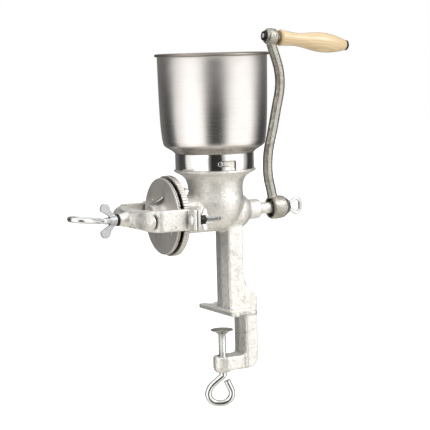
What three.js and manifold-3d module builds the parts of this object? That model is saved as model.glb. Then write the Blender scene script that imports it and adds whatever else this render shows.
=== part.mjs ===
// A hand crank coffee grinder: cast body with its table clamp, steel hopper, worm, two burrs,
// yoke with its adjusting screw, and a crank with a wooden grip. Millimetres, +Z up.
// Every piece is laid out about two lines: the shaft along X at z = 0, and the hopper's axis x = y = 0.
// The last lines move the whole to its own origin, on the rest plate above the clamp screw.
import * as THREE from 'three';
import { mergeVertices } from 'three/addons/utils/BufferGeometryUtils.js';
import Module from 'manifold-3d';

const wasm = await Module();
wasm.setup();

// gaps between pieces
const restGap = 0.3; // faces that rest on each other
const turnGap = 0.35; // round a shaft, screw or pin
const bayonetGap = 0.6; // round a pin in its slot

// hopper
const hopperTall = 134.5; // above the collar
const hopperSide = 98; // from the rim down to where the wall turns in
const hopperRimR = 65;
const hopperMiddleR = hopperRimR - 0.8;
const hopperFootR = hopperRimR - 3.6;
const hopperWall = 1.2;
const rimBeadR = 1.7;
const neckR = 46.7;
const neckWall = 1.2;
const neckHeight = 19;
const slotLegHeight = 7;
const slotLegRise = 4.5;
const slotMouth = 7;
const slotTurn = 20; // degrees from the slot's mouth to its locked end
const slotAzimuth = -90; // degrees, where the near slot opens
const spoutDepth = 3;

// throat, barrel and boss of the casting
const collarZ = 52;
const collarLip = 2.6; // how far the collar stands out past the neck
const spigotHeight = 14;
const spigotWall = 4;
const throatR = 32.7;
const throatWall = 5.5;
const throatWaistZ = 28;
const bulbR = throatR + 1.3; // where the throat swells into the barrel
const bulbZ = 14;
const barrelR = 23;
const barrelWall = 5.5;
const domeX = 22.5; // centre of the barrel's round end
const bossWall = 2.5;
const flangeThick = 3.7;
const flangeEdge = 7.3; // how far the burrs stand out past the flange
const burrPadR = 5.6; // round each burr screw

// burrs, counted in -X from the flange
const burrR = 47.3; // of the stationary burr
const rotatingEdge = 2.3; // how much smaller in radius the rotating burr is
const burrEyeR = 21;
const flangeFaceX = -57.7;
const stationaryThick = 7.1;
const grindGap = 3.1;
const rotatingThick = 1.9;
const carrierThick = 1.9;
const toothCount = 20;
const toothDepth = 1;
const burrScrewEdge = 10.3; // in from the burrs' rim
const burrScrewAngle = 127; // degrees from +Y towards +Z, of the near upper screw
const burrScrewR = 2.4;
const burrScrewSunk = 1.6; // how far the stationary burr's screws lie under its teeth
const rotatingScrewR = 1.6;
const burrNutR = 4.6;
const burrNutThick = 3.4;
const carrierHubR = 14;
const carrierFilletR = 20;
const carrierHubLong = 15;
const lockPinR = 1.5;

// worm and shaft
const journalR = 9.5;
const shaftR = journalR - 2.5;
const squareSide = journalR + 2.5;
const wormCoreR = journalR - 2;
const wormGap = 0.9; // to the barrel's bore
const wormPitch = 28;
const wormFlight = 4;
const wormStartX = -50;
const wormEndX = domeX + 1.5;
const wormEndRoom = 6; // from the worm to the chamber's end
const shaftToCrank = 16.5; // from the boss to the crank's hub

// yoke
const yokeHeight = 25;
const yokeBar = 5;
const yokeRoom = 1.5; // from the stationary burr's rim to the arms
const lugNotch = 1; // past the arms' inner faces, where the lugs clear the burr
const yokeReach = 19.7; // from the rotating burr's hub to the yoke's back
const yokeBend = 9;
const yokeHubLong = 21;
const earThick = 4;
const lugThick = 4.7;
const yokeBoltR = 2.9;
const yokeBoltHeadR = 6.4;
const earMargin = 0.7; // round the bolt's head
const yokeBoltTailX = -27;
const yokeWasherThick = 1.2;
const yokeNutHubLong = 7;

// adjusting screw and its lock nut
const adjustR = 4;
const ballR = adjustR;
const adjustWireR = adjustR * 0.8;
const adjustShankLong = 18; // outside the yoke's hub
const adjustLoopLong = 44;
const adjustLoopWide = 33;
const adjustLoopRise = 5; // how far the eye is bent up at its end
const yokeHubTipR = adjustR + 3.2;
const yokeHubRootR = adjustR + 7;
const lockWasherThick = 1.6;
const lockNutHubR = adjustR + 1.9;
const lockNutLong = 9;
const lockNutTip = [14, 14, 6.5]; // of a wing: along the screw, out from it, radius

// crank
const crankRadius = 205.5; // shaft axis to the middle of the grip's boss
const crankBossX = hopperRimR + 15.7;
const crankHubX = crankBossX - 6.7;
const crankHubLong = 23.5;
const crankHubRecessR = shaftR + 4;
const crankHubR = crankHubRecessR + 3.4;
const crankHubRecess = 7;
const crankSquare = journalR + 0.5;
const crankArmWide = 12.6;
const crankArmDeep = 10.5;
const crankWasherThick = 1.2;
const crankWasherR = 8;
const crankScrewR = 2.5;
const crankLoopWide = 23;
const crankLoopLong = 19.5;
const gripTilt = 7; // degrees that the grip droops outwards
const gripBossR = 10.25;
const gripBossWide = 16;
const gripGap = 3.2; // from the boss to the wood
const gripLong = 94;
const gripR = 12;
const gripPinR = 3;
const gripWasherThick = 3;

// post, rest plate and C of the casting
const clampX = 4;
const plateZ = -122;
const plateThick = 5.5;
const plateNearY = -41;
const plateFarY = 51;
const plateMinX = -2;
const plateMaxX = 33.3;
const postMinX = 7.5;
const postMaxX = 27;
const postWide = 34;
const ridge = 2.5; // how far the parting ridge stands out of the post's and the C's inner faces
const backMinX = 29.5;
const backMaxX = 45;
const backWide = 32;
const cornerR = 15; // outside, where the back turns into the lower jaw
const jawZ = plateZ - 52;
const jawThick = 17;
const jawBossLong = 20;

// clamp screw
const clampR = 4.5;
const clampWireR = clampR - 0.5;
const jawBossR = clampR + 7;
const padTopZ = plateZ - 20;
const padR = clampR + 9.2;
const padNeckR = clampR - 1.3;
const padDeep = 5.4;
const clampLoopZ = jawZ - jawBossLong - 4.5;
const clampEndZ = clampLoopZ - 38;
const clampLoopWide = 37;
const clampLoopLean = 4; // how far the eye stands to one side of the screw
const clampTurn = -22; // degrees, how the eye stands

const hopperTopZ = collarZ + hopperTall;
const hopperFootZ = hopperTopZ - hopperSide;
const collarR = neckR + collarLip;
const flangeR = burrR - flangeEdge;
const burrScrewCircleR = burrR - burrScrewEdge;
const bossR = journalR + bossWall;
const bossEndX = crankHubX - shaftToCrank;
const nearX = flangeFaceX - restGap; // front of what seats on the flange
const stationaryX = nearX - stationaryThick;
const rotatingR = burrR - rotatingEdge;
const rotatingX = stationaryX - grindGap - rotatingThick;
const carrierX = rotatingX - restGap - carrierThick;
const hubFaceX = carrierX - carrierHubLong;
const earX = nearX - 2 - earThick; // front of the yoke's ears
const lugX = earX + earThick + restGap; // front of the casting's lugs
const yokeBackX = hubFaceX - yokeReach;
const yokeBendX = yokeBackX + yokeBend;
const yokeHubX = yokeBackX - yokeHubLong;
const adjustLoopStartX = yokeHubX - adjustShankLong;
const adjustEndX = adjustLoopStartX - adjustLoopLong;
const yokeInnerY = burrR + yokeRoom;
const yokeBoltY = yokeInnerY + yokeBar + yokeBoltHeadR + earMargin;
const earY = yokeBoltY + yokeBoltHeadR + earMargin;
const neckFootZ = collarZ + restGap;
const neckTopZ = neckFootZ + neckHeight;
const spigotR = neckR - neckWall - bayonetGap;
const bayonetPinZ = neckFootZ + slotLegRise + slotLegHeight / 2;
const bayonetPinR = slotLegHeight / 2 - bayonetGap;
const barrelBoreR = barrelR - barrelWall;
const wormR = barrelBoreR - wormGap;
const funnelR = throatR - throatWall;

// ---- shapes ----

function volumeOf(places, triangles) {
  let six = 0;
  for (let i = 0; i < triangles.length; i += 3) {
    const corner = (n) => new THREE.Vector3().fromArray(places, triangles[i + n] * 3);
    six += corner(0).dot(corner(1).cross(corner(2)));
  }
  return six;
}

// a closed geometry as a solid whose faces point out
function solid(geometry) {
  const plain = geometry.clone();
  plain.deleteAttribute('normal');
  plain.deleteAttribute('uv');
  const welded = mergeVertices(plain);
  const places = new Float32Array(welded.attributes.position.array);
  const corners = welded.index.array;
  const triangles = [];
  for (let i = 0; i < corners.length; i += 3) {
    const [a, b, c] = corners.slice(i, i + 3);
    if (a !== b && b !== c && c !== a) triangles.push(a, b, c);
  }
  if (volumeOf(places, triangles) < 0) triangles.reverse();
  const mesh = new wasm.Mesh({ numProp: 3, vertProperties: places, triVerts: new Uint32Array(triangles) });
  return new wasm.Manifold(mesh);
}

const joined = (...solids) => solids.reduce((whole, next) => whole.add(next));
const cut = (whole, ...tools) => tools.reduce((left, tool) => left.subtract(tool), whole);

function piece(name, made, material) {
  const { vertProperties, triVerts } = made.getMesh();
  const geometry = new THREE.BufferGeometry();
  geometry.setAttribute('position', new THREE.BufferAttribute(new Float32Array(vertProperties), 3));
  geometry.setIndex(new THREE.BufferAttribute(new Uint32Array(triVerts), 1));
  geometry.computeVertexNormals();
  const mesh = new THREE.Mesh(geometry, material);
  mesh.name = name;
  return mesh;
}

const radians = THREE.MathUtils.degToRad;

// points of an arc, angles in degrees
function arc(x, y, r, from, to, steps) {
  const points = [];
  for (let i = 0; i <= steps; i += 1) {
    const angle = radians(from + ((to - from) * i) / steps);
    points.push([x + r * Math.cos(angle), y + r * Math.sin(angle)]);
  }
  return points;
}

const between = (from, to, share) => from + (to - from) * share;

const flat = (points) => new THREE.Shape(points.map(([x, y]) => new THREE.Vector2(x, y)));

// [radius, along] pairs turned about Z or X
function turned(profile, sides) {
  return new THREE.LatheGeometry(profile.map(([r, along]) => new THREE.Vector2(r, along)), sides);
}
const turnedZ = (profile, sides = 40) => solid(turned(profile, sides).rotateX(Math.PI / 2));
const turnedX = (profile, sides = 24) => solid(turned(profile, sides).rotateZ(-Math.PI / 2));

// a rod between two places along X or Z
const rodProfile = (r, from, to) => [[0, from], [r, from], [r, to], [0, to]];
const rodX = (r, from, to, sides = 16) => turnedX(rodProfile(r, from, to), sides);
const rodZ = (r, from, to, sides = 16) => turnedZ(rodProfile(r, from, to), sides);
const ringProfile = (inner, outer, from, to) => [
  [inner, from], [outer, from], [outer, to], [inner, to], [inner, from],
];
const ringX = (inner, outer, from, to, sides = 20) => turnedX(ringProfile(inner, outer, from, to), sides);

function box(minX, maxX, wide, minZ, maxZ) {
  const geometry = new THREE.BoxGeometry(maxX - minX, wide, maxZ - minZ);
  return solid(geometry.translate((minX + maxX) / 2, 0, (minZ + maxZ) / 2));
}

// an outline in plan raised between two heights
function raised(outline, fromZ, toZ) {
  const geometry = new THREE.ExtrudeGeometry(flat(outline), { depth: toZ - fromZ, bevelEnabled: false });
  return solid(geometry.translate(0, 0, fromZ));
}

// an outline in X and Z, spread evenly to both sides of y = 0
function spread(outline, wide) {
  const geometry = new THREE.ExtrudeGeometry(flat(outline), { depth: wide, bevelEnabled: false });
  return solid(geometry.translate(0, 0, -wide / 2).rotateX(Math.PI / 2));
}

// an even-sided section, a across and b deep, swept along a smooth line of points
function swept(places, a, b, sides, steps) {
  const line = new THREE.CatmullRomCurve3(places.map((p) => new THREE.Vector3(...p)));
  const circle = arc(0, 0, 1, 180 / sides, 360 - 180 / sides, sides - 1);
  const section = flat(circle.map(([x, y]) => [x * b, y * a]));
  return solid(new THREE.ExtrudeGeometry(section, { extrudePath: line, steps, bevelEnabled: false }));
}

const moved = (made, x, y, z) => made.translate([x, y, z]);
const turn = (made, x, y, z) => made.rotate([x, y, z]);
const mirroredY = (made) => made.mirror([0, 1, 0]);

// ---- finishes ----

const finish = (color, roughness, metalness) => (
  new THREE.MeshStandardMaterial({ color, roughness, metalness })
);
const castIron = finish(0xd6d3c8, 0.45, 0.85);
const darkIron = finish(0x8d867c, 0.5, 0.85);
const discIron = finish(0xa29a92, 0.55, 0.8);
const satinSteel = finish(0xc4bdb8, 0.3, 1);
const mirrorSteel = finish(0xdedcda, 0.08, 1);
const zincSteel = finish(0xcfd0d0, 0.25, 1);
const blackSteel = finish(0x1c1b1a, 0.5, 0.6);
const paleWood = finish(0xe3c58e, 0.45, 0);

// ---- hopper ----

// the spun bowl with its rolled rim, open at the top and into its short spout
function hopperBowl() {
  const spoutR = neckR - neckWall - restGap;
  const shelfZ = neckTopZ + restGap;
  const under = (share) => between(neckR, hopperFootR, share);
  const outer = [
    [spoutR, shelfZ - spoutDepth], [spoutR, shelfZ], [under(0.04), shelfZ],
    [under(0.21), shelfZ + 2.6], [under(0.59), shelfZ + 6.4], [under(0.84), hopperFootZ - 8],
    [under(0.96), hopperFootZ - 4], [hopperFootR, hopperFootZ],
    [hopperFootR + 1.8, hopperFootZ + 20], [hopperMiddleR, hopperFootZ + 50], [hopperRimR, hopperTopZ - 2],
  ];
  const bead = arc(hopperRimR + rimBeadR * 0.8, hopperTopZ, rimBeadR, -110, 180, 6);
  const inner = outer.slice(3).reverse().map(([r, z]) => [r - hopperWall, z + hopperWall * 0.4]);
  const lip = [[spoutR - hopperWall, shelfZ + hopperWall], [spoutR - hopperWall, shelfZ - spoutDepth]];
  return turnedZ([...outer, ...bead, ...inner, ...lip, outer[0]]);
}

// the bayonet slot, up from the neck's foot and then along to its locked end
function bayonetSlot() {
  const legEnd = slotTurn + (THREE.MathUtils.radToDeg(bayonetPinR + bayonetGap / 2) / neckR);
  const mouthSide = THREE.MathUtils.radToDeg(slotMouth / 2) / neckR;
  const legZ = neckFootZ + slotLegRise;
  const sector = (from, to) => [
    ...arc(0, 0, neckR + 3, from, to, 6), ...arc(0, 0, neckR - 5, to, from, 6),
  ];
  const leg = raised(sector(slotAzimuth - legEnd, slotAzimuth + mouthSide), legZ, legZ + slotLegHeight);
  const mouthSector = sector(slotAzimuth - mouthSide, slotAzimuth + mouthSide);
  return joined(leg, raised(mouthSector, neckFootZ - 1, legZ + 1));
}

function hopperNeck() {
  const ring = turnedZ(ringProfile(neckR - neckWall, neckR, neckFootZ, neckTopZ));
  return cut(ring, bayonetSlot(), turn(bayonetSlot(), 0, 0, 180));
}

// a plain pin that stands out of the spigot and catches the slot
function bayonetPin(grown) {
  const stem = rodX(bayonetPinR + grown, spigotR - 4 - grown, neckR + 0.9, 16);
  return turn(moved(stem, 0, 0, bayonetPinZ), 0, 0, slotAzimuth - slotTurn);
}

// ---- body casting ----

function throat() {
  const flare = (share) => between(throatR, collarR, share);
  const bulb = arc(0, 0, 1, -90, 0, 8).map(([r, z]) => [bulbR * r, bulbZ + (bulbZ + barrelR) * z]);
  return turnedZ([
    ...bulb, [throatR, throatWaistZ - 4], [throatR, throatWaistZ + 4],
    [flare(0.1), collarZ - 13.5], [flare(0.26), collarZ - 9.5], [flare(0.5), collarZ - 6.2],
    [flare(0.8), collarZ - 3.8], [flare(0.96), collarZ - 2.4], [collarR, collarZ - 1.4], [collarR, collarZ],
    [spigotR, collarZ], [spigotR, collarZ + spigotHeight], [0, collarZ + spigotHeight],
  ]);
}

function funnel() {
  const mouthR = spigotR - spigotWall;
  const aboveZ = collarZ + spigotHeight + 1;
  return turnedZ([
    [0, 0], [funnelR, 0], [funnelR, collarZ - 14], [funnelR + 4, collarZ - 6], [mouthR, collarZ],
    [mouthR, aboveZ], [0, aboveZ],
  ]);
}

// the barrel ends in a dome with the journal's boss standing out of it
function barrel() {
  const bossAngle = THREE.MathUtils.radToDeg(Math.asin(bossR / barrelR));
  const dome = arc(domeX, 0, barrelR, 90, bossAngle, 7).map(([x, r]) => [r, x]);
  return turnedX([
    [0, flangeFaceX + 1], [barrelR, flangeFaceX + 1], ...dome,
    [bossR, bossEndX - 1], [bossR - 1, bossEndX], [0, bossEndX],
  ]);
}

// the worm's chamber, open at the flange, and the journal's bore
function barrelBore() {
  const wallX = wormEndX + wormEndRoom;
  return turnedX([
    [0, flangeFaceX - 1], [barrelBoreR, flangeFaceX - 1], [barrelBoreR, wallX],
    [journalR + turnGap, wallX + 5], [journalR + turnGap, bossEndX + 1], [0, bossEndX + 1],
  ]);
}

// places of the two burr screws on their circle, [y, z]
const burrScrewPlaces = [0, 180].map((more) => {
  const angle = radians(burrScrewAngle + more);
  return [burrScrewCircleR * Math.cos(angle), burrScrewCircleR * Math.sin(angle)];
});

function flange() {
  const disc = rodX(flangeR, flangeFaceX, flangeFaceX + flangeThick, 36);
  const pad = rodX(burrPadR, flangeFaceX, flangeFaceX + flangeThick, 16);
  return joined(disc, ...burrScrewPlaces.map(([y, z]) => moved(pad, 0, y, z)));
}

// the lugs that the yoke bolts to, each with a gusset back to the barrel
function lug() {
  const halfHigh = yokeHeight / 2;
  const backX = lugX + lugThick;
  const notchY = -yokeInnerY - lugNotch;
  const bar = raised([
    [lugX, -earY], [backX, -earY], [backX, 0], [flangeFaceX, 0], [flangeFaceX, notchY], [lugX, notchY],
  ], -halfHigh, halfHigh);
  const gusset = raised([
    [backX - 1, -yokeInnerY + 4], [backX + 26, -barrelR + 4], [backX - 1, -barrelR + 4],
  ], -halfHigh, halfHigh * 0.8);
  return joined(bar, gusset);
}

// plan of a bar with a parting ridge down its -X face
const ridged = (minX, maxX, wide) => [
  [minX - ridge, 0], [minX, -wide / 2], [maxX, -wide / 2], [maxX, wide / 2], [minX, wide / 2],
];

// one end of the rest plate, towards -Y: two round lobes with a scallop between them
function plateEnd(endY) {
  const width = plateMaxX - plateMinX;
  const [first, notch] = [width * 0.18, width * 0.09];
  const second = width / 2 - first - notch;
  return [
    ...arc(plateMinX + first, endY + first, first, 180, 360, 8),
    ...arc(plateMinX + 2 * first + notch, endY + first, notch, 180, 0, 4).slice(1, -1),
    ...arc(plateMaxX - second, endY + second, second, 180, 360, 8),
  ];
}

function restPlate() {
  const farEnd = plateEnd(-plateFarY).map(([x, y]) => [x, -y]).reverse();
  return raised([...plateEnd(plateNearY), ...farEnd], plateZ, plateZ + plateThick);
}

function clampFrame() {
  const plateTopZ = plateZ + plateThick;
  const post = raised(ridged(postMinX, postMaxX, postWide), plateZ, -barrelR * 0.4);
  const jawFootZ = jawZ - jawThick;
  const cornerZ = jawFootZ + cornerR;
  const back = raised(ridged(backMinX, backMaxX, backWide), cornerZ, plateTopZ + 16);
  const knee = spread([
    [postMinX + 4, plateTopZ - 2], [backMaxX, plateTopZ - 2], [backMaxX, plateTopZ + 11],
    [backMaxX - 3.6, plateTopZ + 16], [backMaxX - 11.6, plateTopZ + 24.5],
    [postMaxX + 0.8, plateTopZ + 36.5], [postMaxX - 2, plateTopZ + 44], [postMinX + 4, plateTopZ + 44],
  ], backWide);
  const filletR = 7;
  const jaw = spread([
    [clampX, jawFootZ], ...arc(backMaxX - cornerR, cornerZ, cornerR, -90, 0, 8),
    [backMaxX, cornerZ + 1], [backMinX, cornerZ + 1], [backMinX, jawZ + filletR],
    ...arc(backMinX - filletR, jawZ + filletR, filletR, 0, -90, 6), [clampX, jawZ],
  ], backWide * 0.8);
  const corner = spread([
    [backMinX, jawFootZ + cornerR * 0.15], ...arc(backMaxX - cornerR, cornerZ, cornerR, -60, 0, 5),
    [backMaxX, cornerZ + 1], [backMinX, cornerZ + 1],
  ], backWide);
  const boss = moved(turnedZ([
    [0, jawZ - jawBossLong], [jawBossR - 3, jawZ - jawBossLong], [jawBossR, jawZ - jawBossLong + 4],
    [jawBossR, jawZ - 0.8], [jawBossR - 0.8, jawZ], [0, jawZ],
  ], 32), clampX, 0, 0);
  return joined(post, back, knee, restPlate(), jaw, corner, boss);
}

function bodyCasting() {
  const near = lug();
  const whole = joined(throat(), barrel(), flange(), near, mirroredY(near), clampFrame());
  const clampBore = moved(rodZ(clampR + turnGap, jawZ - jawBossLong - 5, jawZ + 5), clampX, 0, 0);
  const boltBore = rodX(yokeBoltR + turnGap, lugX - 5, lugX + lugThick + 5);
  const burrBores = burrScrewPlaces.map(([y, z]) => (
    moved(rodX(burrScrewR + turnGap, flangeFaceX - 5, flangeFaceX + 15, 16), 0, y, z)
  ));
  return cut(
    whole, funnel(), barrelBore(), clampBore, ...burrBores,
    moved(boltBore, 0, -yokeBoltY, 0), moved(boltBore, 0, yokeBoltY, 0),
    bayonetPin(turnGap), turn(bayonetPin(turnGap), 0, 0, 180),
  );
}

// ---- burrs ----

// V grooves that spread from the centre of a burr's face at faceX
function grooves(faceX) {
  const side = toothDepth * Math.SQRT2;
  const long = burrR - burrEyeR + 12;
  const groove = solid(new THREE.BoxGeometry(side, long, side).rotateY(Math.PI / 4));
  const all = [];
  for (let i = 0; i < toothCount; i += 1) {
    all.push(turn(moved(groove, faceX, burrEyeR + long / 2 - 4, 0), (360 * i) / toothCount + 4, 0, 0));
  }
  return all;
}

// a hole for a countersunk screw whose head opens on faceX; inward is +1 or -1 along X
function screwShape(faceX, inward, long, r, grown) {
  const profile = [[0, 0], [r * 2 + grown, 0], [r + grown, r], [r + grown, long], [0, long]];
  return turnedX(profile.map(([r, x]) => [r, faceX + inward * x]), 16);
}

function stationaryBurr() {
  const ring = ringX(burrEyeR, burrR, stationaryX, nearX, 36);
  const holes = burrScrewPlaces.map(([y, z]) => joined(
    moved(screwShape(stationaryX + burrScrewSunk, 1, stationaryThick, burrScrewR, turnGap), 0, y, z),
    moved(rodX(burrScrewR * 2 + turnGap, stationaryX - 2, stationaryX + burrScrewSunk, 16), 0, y, z),
  ));
  return cut(ring, ...grooves(stationaryX), ...holes);
}

function stationaryScrew([y, z]) {
  const long = stationaryThick - burrScrewSunk + flangeThick + burrNutThick + 3;
  return moved(screwShape(stationaryX + burrScrewSunk, 1, long, burrScrewR, 0), 0, y, z);
}

function burrNut([y, z]) {
  const backX = flangeFaceX + flangeThick + restGap;
  const hexagon = rodX(burrNutR, backX, backX + burrNutThick, 6);
  return moved(cut(hexagon, rodX(burrScrewR + turnGap, backX - 1, backX + burrNutThick + 1, 16)), 0, y, z);
}

// the rotating burr's screws stand a quarter turn from the stationary burr's, and further in
const rotatingScrewPlaces = burrScrewPlaces.map(([y, z]) => [-z * 0.8, y * 0.8]);

function rotatingBurr() {
  const faceX = rotatingX + rotatingThick;
  const ring = ringX(burrEyeR, rotatingR, rotatingX, faceX, 36);
  const hole = screwShape(faceX, -1, rotatingThick + 1, rotatingScrewR, turnGap);
  return cut(ring, ...grooves(faceX), ...rotatingScrewPlaces.map(([y, z]) => moved(hole, 0, y, z)));
}

function rotatingScrew([y, z]) {
  const long = rotatingThick + carrierThick + restGap;
  return moved(screwShape(rotatingX + rotatingThick - 0.2, -1, long, rotatingScrewR, 0), 0, y, z);
}

// the lock pin: through the hub and the shaft's square, then bent over towards the disc
function lockPin(grown) {
  const r = lockPinR + grown;
  const pinX = hubFaceX + 6;
  const out = carrierHubR * 0.72;
  const places = [-out - 1.6, -out / 2, 0, out / 2, out + 0.4].map((n) => [pinX, n, n]);
  if (grown) return swept(places, r, r, 6, 6);
  return swept([
    ...places, [pinX + 1.2, out + 0.6, out + 3.4], [pinX + 4.2, 0, out + 8.4],
    [carrierX - lockPinR - 0.6, -out * 0.9, out + 13.5],
  ], r, r, 6, 16);
}

function burrCarrier() {
  const shaped = turnedX([
    [0, hubFaceX], [carrierHubR - 1.5, hubFaceX], [carrierHubR, hubFaceX + 1.5],
    [carrierHubR, carrierX - 7], [carrierHubR + 1.5, carrierX - 3], [carrierFilletR, carrierX],
    [rotatingR - 1, carrierX], [rotatingR, carrierX + 1], [rotatingR, carrierX + carrierThick],
    [0, carrierX + carrierThick],
  ], 36);
  const side = squareSide + 2 * turnGap;
  const square = box(hubFaceX - 1, carrierX + carrierThick + 1, side, -side / 2, side / 2);
  const holes = rotatingScrewPlaces.map(([y, z]) => (
    moved(rodX(rotatingScrewR + turnGap, carrierX - 1, carrierX + carrierThick + 1, 16), 0, y, z)
  ));
  return cut(shaped, square, ...holes, lockPin(turnGap));
}

// ---- worm ----

function augerShaft() {
  const squareEndX = hubFaceX + 1;
  const shoulderX = carrierX + carrierThick + 0.6;
  const crankSeatX = crankHubX + crankHubRecess - restGap;
  const core = turnedX([
    [0, shoulderX], [journalR, shoulderX], [journalR, wormStartX - 6],
    [wormCoreR, wormStartX - 4], [wormCoreR, wormEndX + 2], [journalR, wormEndX + wormEndRoom + 7],
    [journalR, bossEndX - 2], [shaftR, bossEndX + 1], [shaftR, crankSeatX], [0, crankSeatX],
  ], 24);
  const square = box(squareEndX, carrierX + carrierThick + 1, squareSide, -squareSide / 2, squareSide / 2);
  const endX = crankHubX + crankHubLong - 4;
  const crankEnd = box(crankHubX + 4, endX, crankSquare, -crankSquare / 2, crankSquare / 2);
  const turns = (wormEndX - wormStartX) / wormPitch;
  const helix = [];
  const stepsPerTurn = 16;
  const middleR = (wormR + wormCoreR) / 2 - 1;
  const count = Math.round(turns * stepsPerTurn);
  for (let i = 0; i <= count; i += 1) {
    const angle = (2 * Math.PI * i) / stepsPerTurn;
    const x = wormStartX + (wormPitch * i) / stepsPerTurn;
    helix.push([x, middleR * Math.cos(angle), middleR * Math.sin(angle)]);
  }
  const flight = wormFlightSolid(helix, middleR);
  const seat = solid(new THREE.SphereGeometry(ballR + restGap, 14, 8));
  const ballSeat = moved(seat, squareEndX - ballR * 0.35, 0, 0);
  const screwHole = rodX(crankScrewR + turnGap, endX - 12, endX + 1, 16);
  return cut(joined(core, square, crankEnd, flight), ballSeat, screwHole, lockPin(turnGap));
}

// the worm's flight: a tall thin bar wound round the core, in short straight stretches
function wormFlightSolid(helix, middleR) {
  const high = (wormR - wormCoreR + 2) / 2;
  const half = wormFlight / 2;
  const corners = [[-half, -high], [half, -high], [half * 0.5, high], [-half * 0.5, high]];
  const places = [];
  for (const [x, y, z] of helix) {
    for (const [along, out] of corners) {
      const r = (middleR + out) / middleR;
      places.push(x + along, y * r, z * r);
    }
  }
  const triangles = [0, 1, 2, 0, 2, 3];
  for (let i = 0; i < helix.length - 1; i += 1) {
    for (let j = 0; j < 4; j += 1) {
      const [a, b] = [i * 4 + j, i * 4 + ((j + 1) % 4)];
      triangles.push(a, a + 4, b, b, a + 4, b + 4);
    }
  }
  const last = (helix.length - 1) * 4;
  triangles.push(last, last + 2, last + 1, last, last + 3, last + 2);
  const geometry = new THREE.BufferGeometry();
  geometry.setAttribute('position', new THREE.BufferAttribute(new Float32Array(places), 3));
  geometry.setIndex(triangles);
  return solid(geometry);
}

// ---- yoke ----

function yokeArm() {
  const halfHigh = yokeHeight / 2;
  const outerY = yokeInnerY + yokeBar;
  const outline = [
    [yokeBackX - 10, 0], [yokeBackX - 9.5, -9], [yokeBackX - 6.5, -24], [yokeBackX - 2, -38],
    ...arc(yokeBendX + 3, -outerY + 8.5, 8.5, 200, 270, 4), [earX, -outerY], [earX, -earY],
    [earX + earThick, -earY], [earX + earThick, -yokeInnerY],
    ...arc(yokeBendX + 3, -yokeInnerY + 7, 7, 270, 195, 4), [yokeBackX + 2, -22], [yokeBackX, -8], [yokeBackX, 0],
  ];
  return raised(outline, -halfHigh, halfHigh);
}

// trims the arms' height down to the hub's where they meet it
function yokeSide() {
  const halfHigh = yokeHeight / 2;
  return spread([
    [yokeBackX - 12, -yokeHubTipR - 1.6], [yokeBendX - 6, -halfHigh], [0, -halfHigh], [0, halfHigh],
    [yokeBendX - 6, halfHigh], [yokeBackX - 12, yokeHubTipR + 1.6],
  ], earY * 2 + 10);
}

function yoke() {
  const near = yokeArm();
  const hub = turnedX([
    [0, yokeHubX], [yokeHubTipR, yokeHubX], [yokeHubTipR + 0.6, yokeHubX + 5], [yokeHubRootR, yokeBackX],
    [yokeHubRootR - 2, yokeBackX + 3], [0, yokeBackX + 3],
  ], 24);
  const whole = joined(joined(near, mirroredY(near)).intersect(yokeSide()), hub);
  const bore = rodX(adjustR + turnGap, yokeHubX - 5, yokeBackX + 10);
  const boltBore = rodX(yokeBoltR + turnGap, earX - 5, earX + earThick + 5);
  return cut(whole, bore, moved(boltBore, 0, -yokeBoltY, 0), moved(boltBore, 0, yokeBoltY, 0));
}

function yokeBolt(y) {
  const headX = earX - restGap;
  const bolt = turnedX([
    [0, headX - 3], [yokeBoltHeadR * 0.5, headX - 2.6], [yokeBoltHeadR * 0.85, headX - 1.6],
    [yokeBoltHeadR, headX - 0.5], [yokeBoltHeadR, headX], [yokeBoltR, headX],
    [yokeBoltR, yokeBoltTailX - 1], [yokeBoltR - 0.8, yokeBoltTailX], [0, yokeBoltTailX],
  ], 16);
  return moved(bolt, 0, y, 0);
}

const yokeWasherX = lugX + lugThick + restGap;
const yokeNutX = yokeWasherX + yokeWasherThick + restGap;

function yokeWasher(y) {
  return moved(ringX(yokeBoltR + turnGap, 6.2, yokeWasherX, yokeWasherX + yokeWasherThick), 0, y, 0);
}

// a wing nut with its base at x = 0 and its wings flaring towards +X; tip is [x, r, radius] of a wing's end
function wingNut({ boreR, hubR, long, tip, wingThick }) {
  const [tipX, tipAt, tipR] = tip;
  const wing = spread([
    [0.4, hubR - 1.5], [tipX - tipR, tipAt - 1], ...arc(tipX, tipAt, tipR, 180, -20, 5),
    [long - 0.6, hubR - 1.5],
  ], wingThick);
  const hub = turnedX([
    [boreR, 0], [hubR, 0], [hubR, 1.5], [hubR - 0.8, long], [boreR, long], [boreR, 0],
  ], 20);
  const bore = rodX(boreR, -1, long + 12, 20);
  return joined(hub, cut(joined(wing, turn(wing, 180, 0, 0)), bore));
}

function yokeNut(y) {
  const nut = wingNut({
    boreR: yokeBoltR + turnGap, hubR: 4.6, long: yokeNutHubLong, tip: [6.2, 9.6, 2.9], wingThick: 2.6,
  });
  return moved(nut, yokeNutX, y, 0);
}

// ---- eye screws ----

// a wire eye whose shank runs along +Z from z = from to the loop, which is wide across X and ends at
// z = to; the loop leans towards -X and rises towards +Y, and the wire's end stops beside its neck
function eyeScrew({ shankR, wireR, from, neckZ, to, wide, lean, rise }) {
  const way = Math.sign(to - neckZ);
  const long = Math.abs(to - neckZ) - wireR;
  const half = wide / 2 - wireR;
  const at = (x, share, leant = 1) => [half * x - lean * leant, rise * share, neckZ + way * long * share];
  const loop = swept([
    [0, 0, neckZ - way * 4], [0, 0, neckZ], at(-0.42, 0.2, 0.5), at(-0.93, 0.5), at(-0.94, 0.76),
    at(-0.5, 0.97), at(0, 1), at(0.5, 0.97), at(0.94, 0.76), at(0.93, 0.53), at(0.68, 0.35),
    [wireR + shankR * 0.3, rise * 0.2, neckZ + way * long * 0.18],
  ], wireR, wireR, 8, 34);
  const [low, high] = way > 0 ? [from, neckZ - 1] : [neckZ + 1, from];
  return joined(rodZ(shankR, low, high, 20), loop);
}

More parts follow.
